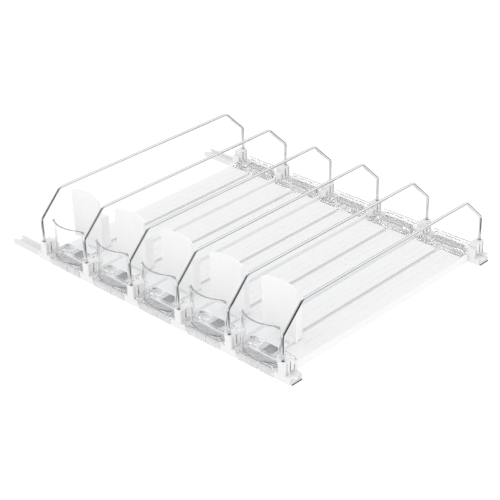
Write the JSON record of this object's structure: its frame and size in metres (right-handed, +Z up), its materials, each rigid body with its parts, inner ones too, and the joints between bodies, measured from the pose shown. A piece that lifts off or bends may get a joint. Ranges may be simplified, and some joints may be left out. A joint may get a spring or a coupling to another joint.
{
  "type": "fridge can organizer",
  "caption": "Rail-mounted self-feeding can organizer with grooved lanes, wire dividers, clear curved front stops and spring pushers that slide forward.",
  "frame": {"origin": "centre of the bounding box at the underside of the rails", "axes": "+X along the rails towards the right, +Y from the clear stops to the back, +Z up"},
  "size_m": [0.45, 0.341, 0.0846],
  "materials": {
    "white_rail": "satin extruded plastic",
    "white_foot": "smooth moulded plastic",
    "white_track": "satin extruded plastic",
    "white_pusher": "smooth moulded plastic",
    "clear_plastic": "clear polished plastic",
    "chrome_wire": "polished chrome plate",
    "spring_steel": "rolled spring steel"
  },
  "bodies": {
    "frame": {"front_rail": "white_rail", "rear_rail": "white_rail", "wire_divider_6": "chrome_wire", "front_foot_6": "white_foot", "rear_foot_6": "white_foot"},
    "divider_1": {"wire_divider_1": "chrome_wire", "front_foot_1": "white_foot", "rear_foot_1": "white_foot"},
    "divider_2": {"wire_divider_2": "chrome_wire", "front_foot_2": "white_foot", "rear_foot_2": "white_foot"},
    "divider_3": {"wire_divider_3": "chrome_wire", "front_foot_3": "white_foot", "rear_foot_3": "white_foot"},
    "divider_4": {"wire_divider_4": "chrome_wire", "front_foot_4": "white_foot", "rear_foot_4": "white_foot"},
    "divider_5": {"wire_divider_5": "chrome_wire", "front_foot_5": "white_foot", "rear_foot_5": "white_foot"},
    "lane_1": {"lane_track_1": "white_track", "front_stop_1": "clear_plastic", "rear_clip_1": "clear_plastic", "spring_strip_1": "spring_steel"},
    "feeder_1": {"pusher_1": "white_pusher", "spring_coil_1": "spring_steel"},
    "lane_2": {"lane_track_2": "white_track", "front_stop_2": "clear_plastic", "rear_clip_2": "clear_plastic", "spring_strip_2": "spring_steel"},
    "feeder_2": {"pusher_2": "white_pusher", "spring_coil_2": "spring_steel"},
    "lane_3": {"lane_track_3": "white_track", "front_stop_3": "clear_plastic", "rear_clip_3": "clear_plastic", "spring_strip_3": "spring_steel"},
    "feeder_3": {"pusher_3": "white_pusher", "spring_coil_3": "spring_steel"},
    "lane_4": {"lane_track_4": "white_track", "front_stop_4": "clear_plastic", "rear_clip_4": "clear_plastic", "spring_strip_4": "spring_steel"},
    "feeder_4": {"pusher_4": "white_pusher", "spring_coil_4": "spring_steel"},
    "lane_5": {"lane_track_5": "white_track", "front_stop_5": "clear_plastic", "rear_clip_5": "clear_plastic", "spring_strip_5": "spring_steel"},
    "feeder_5": {"pusher_5": "white_pusher", "spring_coil_5": "spring_steel"}
  },
  "joints": [
    {"name": "row_spread", "type": "slide", "parent": "frame", "child": "divider_1", "axis": [-1, 0, 0], "range_m": [0, 0.045]},
    {"name": "lane_1_shift", "type": "slide", "parent": "frame", "child": "lane_1", "axis": [-1, 0, 0], "range_m": [0, 0.04051]},
    {"name": "lane_2_shift", "type": "slide", "parent": "frame", "child": "lane_2", "axis": [-1, 0, 0], "range_m": [0, 0.03151]},
    {"name": "lane_3_shift", "type": "slide", "parent": "frame", "child": "lane_3", "axis": [-1, 0, 0], "range_m": [0, 0.02251]},
    {"name": "lane_4_shift", "type": "slide", "parent": "frame", "child": "lane_4", "axis": [-1, 0, 0], "range_m": [0, 0.01351]},
    {"name": "lane_5_shift", "type": "slide", "parent": "frame", "child": "lane_5", "axis": [-1, 0, 0], "range_m": [0, 0.00451]},
    {"name": "divider_2_shift", "type": "slide", "parent": "frame", "child": "divider_2", "axis": [-1, 0, 0], "range_m": [0, 0.03601]},
    {"name": "divider_3_shift", "type": "slide", "parent": "frame", "child": "divider_3", "axis": [-1, 0, 0], "range_m": [0, 0.02701]},
    {"name": "divider_4_shift", "type": "slide", "parent": "frame", "child": "divider_4", "axis": [-1, 0, 0], "range_m": [0, 0.01801]},
    {"name": "divider_5_shift", "type": "slide", "parent": "frame", "child": "divider_5", "axis": [-1, 0, 0], "range_m": [0, 0.00901]},
    {"name": "pusher_1_slide", "type": "slide", "parent": "lane_1", "child": "feeder_1", "axis": [0, 1, 0], "range_m": [0, 0.24], "stiffness_N_per_m": 2, "springref_m": -1.2, "deforming": ["spring_strip_1"]},
    {"name": "pusher_2_slide", "type": "slide", "parent": "lane_2", "child": "feeder_2", "axis": [0, 1, 0], "range_m": [0, 0.24], "stiffness_N_per_m": 2, "springref_m": -1.2, "deforming": ["spring_strip_2"]},
    {"name": "pusher_3_slide", "type": "slide", "parent": "lane_3", "child": "feeder_3", "axis": [0, 1, 0], "range_m": [0, 0.24], "stiffness_N_per_m": 2, "springref_m": -1.2, "deforming": ["spring_strip_3"]},
    {"name": "pusher_4_slide", "type": "slide", "parent": "lane_4", "child": "feeder_4", "axis": [0, 1, 0], "range_m": [0, 0.24], "stiffness_N_per_m": 2, "springref_m": -1.2, "deforming": ["spring_strip_4"]},
    {"name": "pusher_5_slide", "type": "slide", "parent": "lane_5", "child": "feeder_5", "axis": [0, 1, 0], "range_m": [0, 0.24], "stiffness_N_per_m": 2, "springref_m": -1.2, "deforming": ["spring_strip_5"]}
  ],
  "couplings": [
    {"joint": "lane_1_shift", "follows": "row_spread", "ratio": 0.9},
    {"joint": "lane_2_shift", "follows": "row_spread", "ratio": 0.7},
    {"joint": "lane_3_shift", "follows": "row_spread", "ratio": 0.5},
    {"joint": "lane_4_shift", "follows": "row_spread", "ratio": 0.3},
    {"joint": "lane_5_shift", "follows": "row_spread", "ratio": 0.1},
    {"joint": "divider_2_shift", "follows": "row_spread", "ratio": 0.8},
    {"joint": "divider_3_shift", "follows": "row_spread", "ratio": 0.6},
    {"joint": "divider_4_shift", "follows": "row_spread", "ratio": 0.4},
    {"joint": "divider_5_shift", "follows": "row_spread", "ratio": 0.2}
  ]
}
